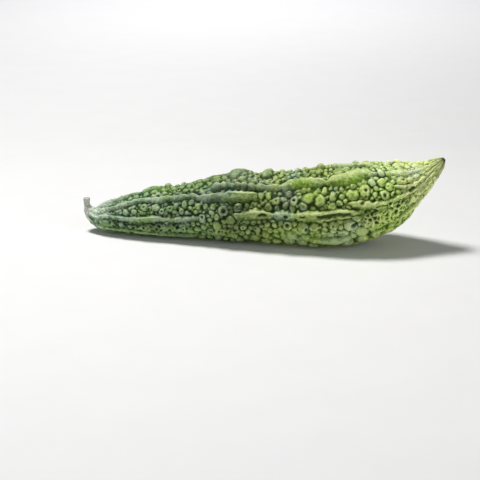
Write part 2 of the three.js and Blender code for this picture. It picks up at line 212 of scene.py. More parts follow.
# Where a rib is nipped in: rib, along, half-length, depth as a share.
NIPS = [
    (1, -28.5, 1.2, 0.6), (1, -22.5, 0.9, 0.5), (1, -17.8, 0.8, 0.5), (1, -13.7, 0.8, 0.5),
    (1, -9.8, 0.8, 0.5), (1, -5, 0.8, 0.5), (1, 0.5, 1.2, 0.6), (1, 7, 1.5, 0.3), (1, 16, 2, 0.55),
    (1, 48, 2.2, 0.75), (1, 82, 2.2, 0.6), (1, 90, 1.5, 0.3), (2, -85, 1.5, 0.3), (2, -56, 1.3, 0.25),
    (2, -36, 1.5, 0.65), (2, -19, 1.2, 0.2), (3, -95, 1.6, 0.5), (3, -80, 1.3, 0.3), (3, -56, 1.3, 0.3),
    (3, 12, 1.4, 0.75), (3, 26.5, 1.2, 0.6), (3, 36, 1, 0.3), (0, -50, 2, 0.5), (0, -36, 1.5, 0.4),
    (0, -20, 2, 0.5), (0, 46, 2, 0.5),
]
# The ribs under and behind the fruit are nipped at random, about this far apart.
HIDDEN_RIBS = (6, 7, 8, 9)
NIP_STEP = 15
# Craters: along, angle, radius of the hole, how much longer it is than wide. A rim's height and a hole's
# depth are shares of the radius, up to a limit in mm.
CRATER_RIM = (0.35, 0.4)
CRATER_DEPTH = (1.3, 1.9)
CRATERS = [
    (-20, 12, 1.7, 1), (-11, 18, 0.6, 1.5), (-8, -19, 0.8, 1), (0, -19, 0.8, 1), (14, 29, 0.7, 1),
    (26, 29, 1.1, 1.2), (36, 34, 0.5, 1), (54, 31, 0.6, 1.2), (74, 30, 1.1, 1.1), (84, 13, 1.3, 1),
    (97, 26, 0.9, 1), (89, 7, 1, 1.2), (88, 25, 0.6, 1.4), (70, 12.5, 1.15, 1.4), (76.5, 11, 1.15, 1.4),
    (61.5, -18, 1.7, 1.25), (21, -11, 1.3, 1.1), (33, -18.5, 1.7, 0.75), (9, 19, 0.5, 1),
    (-75, 32, 0.6, 1.3), (-57, 24, 0.7, 1), (-47, 32, 0.6, 1), (-63, 19, 0.6, 1.4), (70, -2, 1, 1),
    (76, -5, 1.4, 1.1), (20.5, 4, 1, 1.5), (50, -12, 0.7, 1), (-35, 3, 0.9, 1), (43, -30, 0.9, 1.6),
    (3, -32, 0.8, 2), (98.5, -5, 1.3, 1.6),
]
# Zones where a net of low ridges takes the warts' place: along, angle, half-length, half-turn.
NETS = [
    (-104, -12, 9, 20), (-66, -25, 24, 15), (-24, -32, 13, 12), (80, -20, 15, 21), (-104, 65, 8, 12),
    (44, 118, 20, 14), (-60, -128, 26, 14), (86, -135, 14, 22), (-90, 165, 14, 14),
]
NET_HEIGHT = 0.8
NET_CELL = 2.9
# Beads between the folds of the beak and the neck: their number, where they start and end, their radius.
BEADS = [(150, 95, 115, 1.15), (60, -112, -96, 1.1)]
BEAD_SEED = 4
# Thin folds across the fruit: along, angle, strength, half-length, half-turn.
CROSS_FOLDS = [
    (77, -40, 1, 17, 24), (30, -150, 1, 20, 16), (-66, -1, 0.6, 22, 7), (-24, -30, 0.6, 14, 14),
]
# Small pores in the skin round the neck: their number, where they start and end, their radius.
PORES = (90, -116, -92, 0.75)
PORE_SEED = 9
# Domes that stand up along the top, and one on the second rib: along, angle, radius.
TOP_DOMES = np.array([
    (6, 100, 3.9), (-5, 97, 2.4), (15, 104, 2.3), (21, 101, 2.3), (26, 99, 2.4), (31, 100, 2.6),
    (42, 99, 3.2), (51, 98, 3), (88, 99, 1.9), (93, 97, 2.2), (97, 96, 2.2), (102, 97, 2), (83, 101, 2),
    (-61, 106, 2.6), (-50, 104, 2.2), (-42, 100, 2), (108, 96, 1.5), (86.5, 56, 2.5),
])
# Thin folds that run into the beak and the stalk: their number, where they start and end, their height.
BEAK_FOLDS = (13, 99, 119, 0.5)
NECK_FOLDS = (17, -99, -123, 0.4)
# How light the skin is: along, share.
LIGHTNESS = [
    [-127, 1.35], [-108, 1.25], [-95, 1], [-60, 0.8], [-30, 0.68], [0, 0.68], [20, 0.82], [60, 0.95],
    [80, 1.15], [95, 1.35], [112, 1.45], [119, 1.2],
]
# Patches of the skin's colour, blue and silvery or bright: along, angle, radius, strength.
BLUE = [
    (-26, 57, 6, 1), (-16, 55, 7, 1), (-7, 54, 5, 0.8), (86.5, 55, 3.5, 1), (24, 34, 6, 0.7),
    (16, 5, 5, 1), (22, 5, 5, 1), (14, 10, 4, 0.7), (-91, 5, 6, 0.8), (-98, 48, 10, 0.6),
    (-35, 1, 4, 1), (-20, 12, 4.5, 1), (-11, 17, 4, 0.6), (61, -16, 4, 0.8), (33, -17, 4, 0.6),
    (6, 88, 6, 0.6), (24, 86, 8, 1), (-5, 84, 4, 1), (-97, 98, 12, 0.6), (-80, 66, 8, 0.5),
    (-104, 60, 9, 0.6), (22, 41, 5, 0.7), (32, 19, 4, 0.7), (51, 86, 4, 0.5), (79, 41, 4, 0.6),
    (54, 41, 3.5, 0.7), (-30, 37, 6, 0.4), (-45, 0, 6, 0.5), (-32, 52, 5, 0.7), (-112, 30, 12, 0.7),
    (102, 43, 5, 0.9), (38, 140, 14, 0.6), (-30, 160, 12, 0.7), (20, -150, 14, 0.5), (60, 175, 12, 0.5),
]
BRIGHT = [
    (36, 33, 5, 0.8), (43, 27, 5, 0.7), (9, 18, 4, 0.7), (-37, 25, 3, 0.9), (66, 57, 9, 0.5),
    (23, -32, 9, 0.9), (82, -34, 11, 0.7), (63, 80, 5, 0.9), (-22, -36, 8, 0.5), (96, 50, 8, 0.6),
    (32, 58, 8, 0.7), (65, 28, 5, 0.6), (-62, 78, 10, 0.55), (-68, -28, 14, 0.35), (-38, -28, 9, 0.4),
    (88, 25, 4, 0.6), (45, -40, 9, 0.7), (10, 130, 12, 0.6), (70, -160, 14, 0.7), (-40, -150, 12, 0.4),
]
# Where the skin is made whitish, partly its bloom and partly painted highlight: along, angle, radius,
# strength.
PALE = [
    (-14, 87, 8, 0.5), (86.5, 55, 3.5, 0.8), (104, 43, 5, 0.8), (-117, 25, 9, 1), (-118, 80, 7, 0.7),
    (-106, 75, 7, 0.5), (-83, 5, 5, 0.35), (-63, 2, 7, 0.6), (-48, 0, 6, 0.5), (-33, 41, 6, 0.7),
    (-22, 39, 6, 0.4), (-37, -4, 4, 0.3), (-95, 96, 9, 0.35), (17, 7, 4, 0.5), (64, 96, 11, 0.5),
    (20, 34, 7, 0.75), (27, 29, 4, 0.6), (6, 60, 7, 0.5), (95, 48, 6, 0.4), (-104, -100, 9, 0.4),
    (60, -120, 8, 0.3), (84, 92, 18, 0.3), (-60, 76, 10, 0.1), (-93, -15, 4, 0.3), (-67, 51, 7, 0.8),
    (-83, 52, 5, 0.5), (-52, 49, 6, 0.5), (-87, 38, 5, 0.4), (52, -42, 12, 0.5), (64, -30, 9, 0.3),
    (24, -44, 9, 0.45), (0, 62, 5, 0.5), (42, 61, 5, 0.25), (-17, 100, 6, 0.4), (-22, 66, 4, 0.6),
    (-11, 63, 4, 0.6), (-90, 53, 7, 0.6), (-89, 8, 5, 0.45), (-106, 28, 6, 0.5), (17, 47, 5, 0.45),
    (82, 56, 4, 0.5), (-41, 43, 5, 0.4), (-29, 8, 4, 0.4),
]
# Painted shade, mostly where the skin lies deep between the warts: along, angle, radius, strength.
SHADE = [
    (-16, 13, 6, 1), (-5, 14, 6, 0.9), (7, 14, 6, 0.9), (20, 15, 7, 0.9), (33, 13, 5, 0.6),
    (-17, -18, 7, 0.9), (2, -20, 7, 0.5), (-100, -18, 8, 0.7), (-85, -20, 8, 0.8), (-70, -17, 8, 0.8),
    (-14, 45, 3, 0.6), (-90, -32, 14, 0.45), (-62, -32, 14, 0.45), (-5, 22, 5, 0.8), (-17, -9, 4, 0.6),
    (6, -8, 4, 0.5), (-17, 47, 4, 0.7), (61.5, -18, 2, 1), (-54, 27, 5, 0.4), (39, 84, 7, 0.5),
    (20, 33, 7, 0.7), (-20, 170, 14, 0.5), (40, -130, 12, 0.5),
]
# Where the skin is smoother, with faint creases: along, angle, strength, half-length, half-turn.
SOFT = [
    (27, -36, 0.75, 28, 15), (64, -38, 0.6, 14, 13), (-22, -38, 0.5, 14, 12), (-15, 101, 0.75, 8, 12),
    (-95, 110, 0.5, 14, 30), (20, 150, 0.5, 24, 18), (-50, -160, 0.5, 20, 18),
]
# Where the skin turns into the beak's, the neck's and the stalk's, and where it ripens and is dry.
BEAK = (84, 104)
NECK = (-112, -88)
NECK_END = (-120, -112)
STALK = (-118, -114)
RIPENS = (-70, 40)
DRIES = (117.8, 119.3)
# A nip takes these shares of a rib's half-width and of its height.
NIP_NARROWS = 0.55
NIP_LOWERS = 0.5
# The middle and width of the painted highlight line on a rib's upper side and of the strip beside a rib, in
# the rib's half-widths, and the share by which the skin sinks in the strip, which also gets painted shade.
HIGHLIGHT_LINE = (0.48, 0.2)
STRIP = (1.3, 0.35)
STRIP_SINKS = 0.2
# How flat a rib's crest is: those in view are rounder.
CREST_POWER = {True: 1.8, False: 2.3}
# How high the rough skin stands: lumps and wrinkles on the ribs, broad lumps, folds across and grain.
RIB_LUMPS = 0.2
WRINKLES = 0.3
BROAD_LUMPS = 0.14
CROSS_HEIGHT = 0.55
GRAIN = 0.16
END_GRAIN = 0.14
DEEPEST = -0.6
# The fine grid over the skin.
COLUMNS = 276
BODY_RINGS = 288
ALL = slice(None)

# Pairs of colours as on a screen, from 0 to 255: of unripe and ripe skin, or of low and high places.
COLOURS = {
    # dark serves painted shade in crevices, creases, beside the ribs and in patches, and the mottling.
    "dark": [(14, 38, 12), (30, 52, 6)],
    # flank and top give the warts darker flanks and paler tops, partly painted shade and highlight.
    "flank": [(48, 84, 32), (82, 114, 24)],
    "top": [(140, 180, 106), (171, 198, 90)],
    # pale serves the bloom, the specks and painted highlight where the skin stands out.
    "pale": [(190, 216, 168), (222, 231, 166)],
    # hole is the painted shade colour in holes and slits.
    "hole": [(28, 46, 22), (52, 74, 18)],
    # edge is the colour of the painted highlight line on the ribs.
    "edge": [(196, 216, 182), (208, 226, 150)],
    "silver": [(52, 94, 72), (150, 190, 164)],
    "lime": [(108, 148, 24), (172, 206, 70)],
    "stalk": [(144, 150, 138), (214, 218, 208)],
    "floor": [(232, 232, 234), (237, 237, 239)],
}
BEAK_COLOUR = (206, 208, 150)
NECK_COLOUR = (180, 189, 178)
WHITISH = (200, 218, 194)
DRY_TIP = (76, 56, 36)
BUMP_STRENGTH = 0.6
BUMP_HEIGHT = 0.25
SETTINGS = {
    "Subsurface Weight": 0.08,
    "Subsurface Radius": (0.6, 1.0, 0.3),
    "Subsurface Scale": 1.2 * MM,
    "Specular IOR Level": 0.3,
}

# In metres, the fruit's middle and the lamps: name, place, power, size, colour, what they face.
FRUIT_MIDDLE = Vector((0, 0, 0.03))
LAMPS = [
    ("key", (-0.28, 0.05, 1.0), 11, 0.25, (1, 0.99, 0.96), FRUIT_MIDDLE),
    ("side", (0.95, -0.55, 0.4), 2.8, 0.7, (1, 1, 0.97), FRUIT_MIDDLE),
    ("fill", (-0.6, -0.9, 0.35), 1.15, 0.8, (0.95, 0.97, 1), FRUIT_MIDDLE),
    # Only the floor behind the fruit is in this one's light.
    ("backdrop", (-0.15, 0.8, 0.8), 7.5, 0.5, (1, 1, 1), Vector((-0.33, 1.9, 0))),
]
SKY = (0.96, 0.97, 1.0, 1)
SKY_STRENGTH = 0.14
FLOOR_CORNERS = [(-3, -3, 0), (3, -3, 0), (3, 3, 0), (-3, 3, 0)]
# The photo's view, its lens and sensor in mm, and the pixel where the fruit's middle lands.
AZIMUTH = math.radians(9.3)
ELEVATION = math.radians(20)
DISTANCE = 0.9
LENS = 101.85
SENSOR = 36
IMAGE_SIZE = 480
MIDDLE_PIXEL = (259.8, 196.4)


def smooth(rows, x):
    """Every column of a table as a smooth function of the first one, for an array of x."""
    rows = np.array(rows, float)
    x = np.array(x, float, ndmin=1)
    last = len(rows) - 1
    i = np.clip(np.searchsorted(rows[:, 0], x, side="right") - 1, 0, last - 1)
    a, b = rows[i], rows[i + 1]
    before, after = rows[np.maximum(i - 1, 0)], rows[np.minimum(i + 2, last)]
    span = b[:, :1] - a[:, :1]
    t = np.clip((x[:, None] - a[:, :1]) / span, 0, 1)
    slope_a = (b - before) / (b[:, :1] - before[:, :1]) * span
    slope_b = (after - a) / (after[:, :1] - a[:, :1]) * span
    start = a * (1 + 2 * t) * (1 - t) ** 2 + slope_a * t * (1 - t) ** 2
    return start + b * t * t * (3 - 2 * t) + slope_b * t * t * (t - 1)


def smoothstep(x, low, high):
    t = np.clip((x - low) / (high - low), 0, 1)
    return t * t * (3 - 2 * t)


def bell(x, middle, width, power=2):
    """1 at the middle, and falling to almost 0 two widths away."""
    return np.exp(-(np.abs((x - middle) / width) ** power))


def ripple(along, phase):
    """An uneven wave along a rib, other than its neighbour's."""
    return 0.6 * np.sin(along / 8.5 + 1.9 * phase) + 0.4 * np.sin(along / 3.9 + 2.7 * phase)


def turn_between(a, b):
    """From angle b to angle a the short way round, in degrees."""
    return np.fmod(np.fmod(a - b, 360) + 540, 360) - 180


def presence(index, along):
    """1 where the rib stands and 0 in its gaps."""
    share = np.ones_like(along)
    for start, end in RIBS[index]["gaps"]:
        inside = np.minimum(along - start, end - along)
        share = share * (1 - smoothstep(inside, -GAP_FADE / 2, GAP_FADE / 2))
    return share


def rib_angle(index, along):
    return smooth(RIBS[index]["turns"], along)[:, 1] + 1.5 * ripple(along, index + 4)


def rib_half(index, along, half):
    broader = np.ones_like(along)
    for start, end, share in RIBS[index].get("swells", []):
        broader = broader + share * np.sin(math.pi * np.clip((along - start) / (end - start), 0, 1))
    taper = 0.4 + 0.6 * presence(index, along)
    return half * broader * taper * (1 + 0.16 * ripple(along, index + 9))


def pick_nips():
    """Where each rib is nipped in: the ones seen, and random ones on the ribs out of sight."""
    draw = np.random.default_rng(NIP_SEED).uniform
    nips = list(NIPS)
    for index in HIDDEN_RIBS:
        for along in np.arange(-90, 100, NIP_STEP):
            nips.append((index, along + draw(-6, 6), draw(1.2, 2.2), draw(0.2, 0.7)))
    return nips


class Places:
    """Places on the skin, as arrays: along, angle and radius, with what the form's table gives there."""

    def __init__(self, along, angle, radius=0.0):
        self.along = np.array(along, float, ndmin=1)
        self.angle = np.array(angle, float, ndmin=1)
        self.radius = np.broadcast_to(np.asarray(radius, float), self.along.shape)
        row = smooth(STATIONS, self.along)
        step = 0.5
        ahead = smooth(STATIONS, self.along + step)
        self.skin = row[:, 4] - row[:, 5]
        self.rib = row[:, 5]
        self.half = row[:, 6]
        self.stretch = np.linalg.norm(ahead[:, 1:4] - row[:, 1:4], axis=1) / step


def clear_of_ribs(places):
    """How far outside the nearest rib each place lies, in mm."""
    clear = np.full(len(places.along), np.inf)
    for index in range(len(RIBS)):
        turn = turn_between(places.angle, rib_angle(index, places.along))
        outside = np.abs(np.radians(turn)) * places.skin - rib_half(index, places.along, places.half)
        standing = presence(index, places.along) > 0.4
        clear = np.where(standing, np.minimum(clear, outside), clear)
    return clear


def random_numbers(seed, count):
    """Numbers from 0 up to 1, the same as in the part's own source."""
    numbers = np.empty(count)
    state = seed
    for i in range(count):
        state = (state * 1664525 + 1013904223) % 2**32
        numbers[i] = state / 2**32
    return numbers


def throw(warts, tries, seed, choose_radius, spacing, rib_share):
    """The warts given, and more at random wherever neither a rib nor a wart is in the way."""
    draws = random_numbers(seed, 3 * tries).reshape(-1, 3)
    first, last = WART_RADIUS[0][0], WART_RADIUS[-1][0]
    along = first + (last - first) * draws[:, 0]
    tried = Places(along, 360 * draws[:, 1], choose_radius(along, draws[:, 2]))
    allowed = clear_of_ribs(tried) >= rib_share * tried.radius
    kept = np.empty((len(warts) + tries, 3))
    kept[: len(warts)] = warts
    count = len(warts)
    for i in np.flatnonzero(allowed):
        others = kept[:count]
        across = np.radians(turn_between(tried.angle[i], others[:, 1])) * tried.skin[i]
        apart = np.hypot((others[:, 0] - along[i]) * tried.stretch[i], across)
        if (apart > spacing * (tried.radius[i] + others[:, 2])).all():
            kept[count] = along[i], tried.angle[i], tried.radius[i]
            count += 1
    return kept[:count]


def scatter_beads():
    draw = np.random.default_rng(BEAD_SEED).uniform
    beads = []
    for count, start, end, radius in BEADS:
        for _ in range(count):
            along = draw(start, end)
            size = radius * (1 - 0.35 * abs(along - start) / abs(end - start)) * draw(0.7, 1.2)
            beads.append((along, draw(0, 360), size))
    return np.array(beads)


def wart_radius(along, draw):
    """The first half of the tries are of the usual size and the others are smaller."""
    early = np.arange(len(along)) < len(along) / 2
    share = np.where(early, 0.85 + 0.35 * draw, 0.6 + 0.25 * draw)
    usual = smooth(WART_RADIUS, along)[:, 1]
    return np.maximum(usual * share, np.minimum(usual, SMALL_WART))


def pebble_radius(along, draw):
    """Large pebbles are tried first."""
    late = np.linspace(0, 1, len(along))
    usual = smooth(WART_RADIUS, along)[:, 1]
    return usual * (0.62 - 0.34 * late) * (0.85 + 0.3 * draw)


class Skin:
    """The fine grid over the skin, with the height of its relief and what its material needs to know."""

    def __init__(self):
        self.along = ring_places()
        self.angle = np.arange(COLUMNS) * 360 / COLUMNS
        self.at = Places(self.along, np.zeros_like(self.along))
        self.shape = (len(self.along), COLUMNS)
        self.height, self.second, self.crest, self.rib = np.zeros((4, *self.shape))
        # pit, edge and beside feed the painted shade in holes, the painted highlight line on the ribs and
        # the painted shade beside them.
        self.pit, self.edge, self.beside = np.zeros((3, *self.shape))
        self.tint = np.full(self.shape, 0.5)
        self.soft = self.patches(SOFT)
        self.net = self.patches([(a, b, 1, c, d) for a, b, c, d in NETS])
        self.wobble = self.noise_field(2.6, 1)
        self.broad = self.noise_field(9.0, 2)
        bent = (0.35 + 0.2 * smoothstep(self.along, -50, 20))[:, None]
        self.shift = bent * self.noise_field(3.0, 5), bent * self.noise_field(3.0, 6)

    def bare_points(self):
        """Where the grid would be with no relief."""
        return points_at(self.along, self.angle, np.zeros(self.shape))

    def noise_field(self, size, layer):
        """A smooth random field from -1 to 1 with lumps of about this size in mm."""
        return self.noise_at(self.bare_points() / size + 31.7 * layer)

    def noise_at(self, points):
        flat = points.reshape(-1, 3)
        values = np.fromiter((noise.noise(point) for point in flat), float, len(flat))
        return (1.6 * values).clip(-1, 1).reshape(self.shape)

    def wrinkles(self):
        """A random field of long thin lumps that run along the fruit."""
        return self.noise_at(self.bare_points() * (1 / 9, 1 / 1.7, 1 / 1.7) + 77)

    def cross_folds(self):
        """A random field of thin lumps that run round the fruit, where it has such folds."""
        return self.noise_at(self.bare_points() * (1 / 1.3, 1 / 7, 1 / 7) + 53) * self.patches(CROSS_FOLDS)

    def patches(self, rows):
        """The strongest of the patches given as along, angle, strength, half-length and half-turn."""
        total = np.zeros(self.shape)
        for along, angle, strength, half_length, half_turn in rows:
            x = (self.along - along)[:, None] / half_length
            y = turn_between(self.angle, angle)[None, :] / half_turn
            total = np.maximum(total, strength * (1 - smoothstep(np.hypot(x, y), 0.7, 1.2)))
        return total

    def round_patches(self, rows):
        """Patches given as along, angle, radius and strength, with uneven edges."""
        total = np.zeros(self.shape)
        for along, angle, radius, strength in rows:
            x, y = self.offsets(ALL, ALL, along, angle)
            share = np.hypot(x, y) / radius + 0.35 * self.wobble
            total = np.maximum(total, strength * (1 - smoothstep(share, 0.45, 1.25)))
        return total

    def offsets(self, rows, columns, along, angle):
        """How far a part of the grid lies from a place, along the fruit and round it, in mm."""
        x = ((self.along[rows] - along) * self.at.stretch[rows])[:, None]
        y = np.radians(turn_between(self.angle[columns], angle))[None, :] * self.at.skin[rows][:, None]
        return x + 0 * y, y

    def across(self, angle):
        """How far round the fruit each place lies from a line, given by its angle on each ring, in mm."""
        return np.radians(turn_between(self.angle[None, :], angle[:, None])) * self.at.skin[:, None]

    def around(self, along, angle, reach):
        """The part of the grid that lies within reach of a place, and how far it lies from there."""
        here = Places(along, angle)
        rows = np.flatnonzero(np.abs(self.along - along) * max(here.stretch[0], 0.3) < reach)
        span = math.ceil(math.degrees(reach / max(here.skin[0], 1)) / 360 * COLUMNS)
        span = min(span, (COLUMNS - 1) // 2)
        columns = (round(angle / 360 * COLUMNS) + np.arange(-span, span + 1)) % COLUMNS
        return np.ix_(rows, columns), *self.offsets(rows, columns, along, angle)

    def raise_to(self, patch, height, crest, rib, tint):
        """Keeps the higher of the relief so far and this one, and notes the height of the lower one."""
        before = self.height[patch].copy()
        higher = height > before
        self.second[patch] = np.maximum(self.second[patch], np.minimum(height, before))
        changes = (self.height, height), (self.crest, crest), (self.rib, rib), (self.tint, tint)
        for field, value in changes:
            field[patch] = np.where(higher, value, field[patch])
        return higher

    def add_ribs(self):
        nips = pick_nips()
        for index in range(len(RIBS)):
            leaning = index in LEANING_RIBS
            share = presence(index, self.along)
            nip = np.zeros_like(self.along)
            for _, along, length, depth in [row for row in nips if row[0] == index]:
                nip = np.maximum(nip, depth * bell(self.along, along, length))
            across = self.across(rib_angle(index, self.along)) + 0.5 * self.shift[1]
            half = rib_half(index, self.along, self.at.half)
            for _, start, end, above, broader in [row for row in BLISTERS if row[0] == index]:
                inside = np.sin(math.pi * ((self.along - start) / (end - start)).clip(0, 1))
                across = across - above * inside[:, None]
                half = half + broader * inside**0.7
            half = (half * (1 - NIP_NARROWS * nip))[:, None]
            half = half * (1 + 0.2 * self.wobble + 0.12 * self.broad)
            side = across / half
            # edge marks the painted highlight line on the upper side of a rib in view.
            edge = bell(side, *HIGHLIGHT_LINE) * leaning
            # The strip beside a rib sinks the skin a little and gets painted shade.
            strip = share[:, None] * bell(np.abs(side), *STRIP)
            self.beside = np.maximum(self.beside, strip)
            if leaning:
                side = (side - RIB_LEAN) / (1 - RIB_LEAN * np.sign(side - RIB_LEAN))
            crest = 1 - np.abs(side) ** (CREST_POWER[leaning] + 0.5 * self.broad)
            top = self.at.rib * share * (0.84 + 0.16 * ripple(self.along, index)) * (1 - NIP_LOWERS * nip)
            height = top[:, None] * crest * (1 + 0.1 * self.broad)
            shown = share[:, None] * (1 - nip[:, None])
            higher = self.raise_to((ALL, ALL), height, crest.clip(0, 1), shown, 0.5)
            self.edge = np.where(higher, edge * share[:, None] * (0.7 + 0.5 * self.broad), self.edge)

    def add_lumps(self):
        for along, angle, radius, height in LUMPS:
            patch, x, y = self.around(along, angle, 1.3 * radius)
            share = np.hypot(x + self.shift[0][patch], y + self.shift[1][patch]) / radius
            self.height[patch] += height * (1 - share.clip(0, 1) ** 2) ** 1.5

    def add_folds(self, folds):
        """Thin uneven ridges that run together into the beak or the stalk."""
        count, start, end, share = folds
        draw = np.random.default_rng(FOLD_SEED + count).uniform
        sign = 1 if end > start else -1
        for k in range(count):
            begin = start + sign * draw(0, 9)
            middle = 360 * (k + draw(-0.25, 0.25)) / count
            bend = draw(-14, 14)
            there = smoothstep(sign * self.along, sign * begin, sign * begin + 7)
            gone = 1 - smoothstep(sign * self.along, sign * end - 1, sign * end + 1)
            angle = middle + bend * (1 - there)
            half = np.minimum(0.9, 0.09 * self.at.skin + 0.2)[:, None] * (1 + 0.3 * self.wobble)
            crest = 1 - (self.across(angle) / half) ** 2
            height = share * self.at.rib[:, None] * (there * gone)[:, None] * crest
            self.raise_to((ALL, ALL), height, crest.clip(0, 1), 0.5, 0.6)

    def add_domes(self, domes, spread, height_share, cap, dimple_share, seed):
        """Rounded warts with uneven outlines, some of them with a dimple in the middle."""
        draw = np.random.default_rng(seed).uniform
        places = Places(domes[:, 0], domes[:, 1], domes[:, 2])
        under = np.abs(turn_between(places.angle, UNDERSIDE["middle"])) < UNDERSIDE["half_turn"]
        limit = np.where(under, UNDERSIDE["wart_height"], cap) * places.rib
        tops = np.minimum(height_share * places.radius, limit)
        reach = spread[0] + (spread[1] - spread[0]) * smoothstep(places.along, -70, 0)
        for i, (along, angle, radius) in enumerate(domes):
            squeeze = draw(0.86, 1.16)
            lean = draw(0, math.pi)
            tint = draw(0, 1)
            power = draw(2.2, 3.2)
            dimple = draw() < dimple_share and radius > 1.5
            tilt = draw(0, 2 * math.pi)
            slope = draw(0, 0.2)
            rise = draw(0.84, 1.12)
            patch, x, y = self.around(along, angle, 1.6 * radius)
            ring = np.abs(self.along - along).argmin()
            netted = self.net[ring, round(angle / 360 * COLUMNS) % COLUMNS] > 0.5
            if not x.size or (netted and tint < 0.55):
                continue
            x = x + self.shift[0][patch]
            y = y + self.shift[1][patch]
            u = (x * math.cos(lean) + y * math.sin(lean)) * squeeze
            v = (y * math.cos(lean) - x * math.sin(lean)) / squeeze
            share = np.hypot(u, v) / (reach[i] * radius)
            crest = (1 - share.clip(0, 1) ** power) ** 0.75
            slant = 1 + slope * (x * math.cos(tilt) + y * math.sin(tilt)) / radius
            height = np.where(share < 1, rise * tops[i] * crest * slant, 0)
            higher = self.raise_to(patch, height, crest, 0, tint)
            self.edge[patch] = np.where(higher, 0, self.edge[patch])
            hollow = bell(share, 0, 0.27, 3) if dimple else 0 * share
            self.height[patch] -= np.where(higher, 0.22 * tops[i] * hollow, 0)
            self.pit[patch] = np.where(higher, 0.4 * hollow, self.pit[patch])

    def add_nets(self):
        """In the zones of the nets, low ridges meet round uneven hollows."""
        edge = np.zeros(self.shape)
        deep = np.zeros(self.shape)
        points = self.bare_points() / NET_CELL + 13
        for i, k in np.argwhere(self.net > 0.02):
            point = points[i, k] + (0.25 * self.wobble[i, k], 0, 0.25 * self.broad[i, k])
            distances, cells = noise.voronoi(point)
            edge[i, k] = distances[1] - distances[0]
            x, y, z = cells[0]
            deep[i, k] = math.sin(12.9 * x + 78.2 * y + 37.7 * z) * 43758.5 % 1
        hollow = smoothstep(edge, 0.05, 0.34) * (0.55 + 0.45 * deep)
        plain = NET_HEIGHT * self.at.rib[:, None] * self.net * (1 + 0.25 * self.wobble)
        crest = (0.95 - 0.9 * hollow) * self.net
        higher = self.raise_to((ALL, ALL), plain * (1 - 0.85 * hollow), crest, 0, 0.5)
        self.second = np.where(higher & (self.net > 0.5), 0, self.second)
        self.pit = np.where(higher, 0.6 * hollow**2 * self.net, self.pit)

    def crease(self):
        """1 where two neighbours meet or the bare skin shows, and 0 a little way off."""
        width = CREASE_WIDTH * (1 + 0.6 * self.noise_field(6.0, 7))
        return bell(self.height - self.second, 0, width) * (1 - self.soft)

    def away_from_tips(self, low, high):
        """0 at the thin ends and 1 on the body, by the height that the form's table gives the ribs."""
        return smoothstep(self.at.rib, low, high)[:, None]

    def dress(self):
        """Sinks the skin in creases and beside the ribs, roughens it and opens craters and slits."""
        crease = self.crease()
        self.height *= 1 - STRIP_SINKS * self.beside * (1 - self.rib.clip(0, 1))
        self.height -= CREASE_DEPTH * crease * smoothstep(self.height, 0.2, 1.4)
        rib_share = self.rib * self.crest
        self.height += RIB_LUMPS * rib_share * self.noise_field(2.2, 3)
        ends = (smoothstep(self.along, *BEAK) + 1 - smoothstep(self.along, *NECK))[:, None]
        wrinkles = np.maximum(rib_share, 1.3 * ends) * self.wrinkles()
        self.height += WRINKLES * wrinkles * self.away_from_tips(0, 2)
        self.height += BROAD_LUMPS * self.noise_field(5.0, 4) * self.away_from_tips(0.3, 2)
        self.height += CROSS_HEIGHT * self.cross_folds()
        self.height += (GRAIN + END_GRAIN * ends) * self.noise_field(1.5, 8) * self.away_from_tips(0.1, 1.2)
        for crater in CRATERS:
            self.open_crater(crease, *crater)
        for slit in SLITS:
            self.open_slit(*slit)
        self.height = np.maximum(self.height, DEEPEST)
        return crease

    def open_crater(self, crease, along, angle, radius, length):
        patch, x, y = self.around(along, angle, 3.5 * radius * max(length, 1))
        x = (x + 0.5 * self.shift[0][patch]) / length
        y = y + 0.5 * self.shift[1][patch]
        share = np.hypot(x, y) / radius
        hole = bell(share, 0, 1, 4)
        rim = bell(share, 1.5, 0.45)
        high = min(CRATER_RIM[0] * radius, CRATER_RIM[1])
        deep = min(CRATER_DEPTH[0] * radius, CRATER_DEPTH[1])
        self.height[patch] += high * rim - deep * hole
        self.pit[patch] = np.maximum(self.pit[patch], hole)
        crease[patch] *= 1 - 0.7 * rim

    def open_slit(self, index, start, end, half):
        inside = smoothstep(self.along, start - 1, start + 3)
        inside = (inside * (1 - smoothstep(self.along, end - 3, end + 1)))[:, None]
        across = np.abs(self.across(rib_angle(index, self.along)) + 0.5 * self.wobble)
        groove = inside * bell(across, 0, half, 4)
        lip = inside * bell(across, 1.8 * half, 0.7)
        self.height += SLIT_LIP * half * lip - SLIT_DEPTH * min(half, 1) * groove
        self.pit = np.maximum(self.pit, 0.9 * groove)

    def add_pores(self):
        count, start, end, radius = PORES
        draw = np.random.default_rng(PORE_SEED).uniform
        for _ in range(count):
            along = draw(start, end)
            angle = draw(0, 360)
            size = radius * draw(0.7, 1.3)
            patch, x, y = self.around(along, angle, 2.5 * size)
            hole = bell(np.hypot(x, y), 0, size)
            self.height[patch] -= 0.6 * size * hole
            self.pit[patch] = np.maximum(self.pit[patch], 0.75 * hole)

    def add_swellings(self):
        for along, angle, radius, height in SWELLINGS:
            x, y = self.offsets(ALL, ALL, along, angle)
            share = (np.hypot(x, y) / radius).clip(0, 1)
            near = (np.abs(self.along - along) < 2 * radius)[:, None]
            self.height += np.where(near, height * (1 - share**2) ** 2, 0)

    def neck(self):
        """Where the skin near the stalk is whitish: all round its end, and further on along the top."""
        end = 1 - smoothstep(self.along, *NECK_END)
        near = 1 - smoothstep(self.along, *NECK)
        upper = smoothstep(np.sin(np.radians(self.angle)), -0.1, 0.45)
        return np.maximum(end[:, None], near[:, None] * upper[None, :])

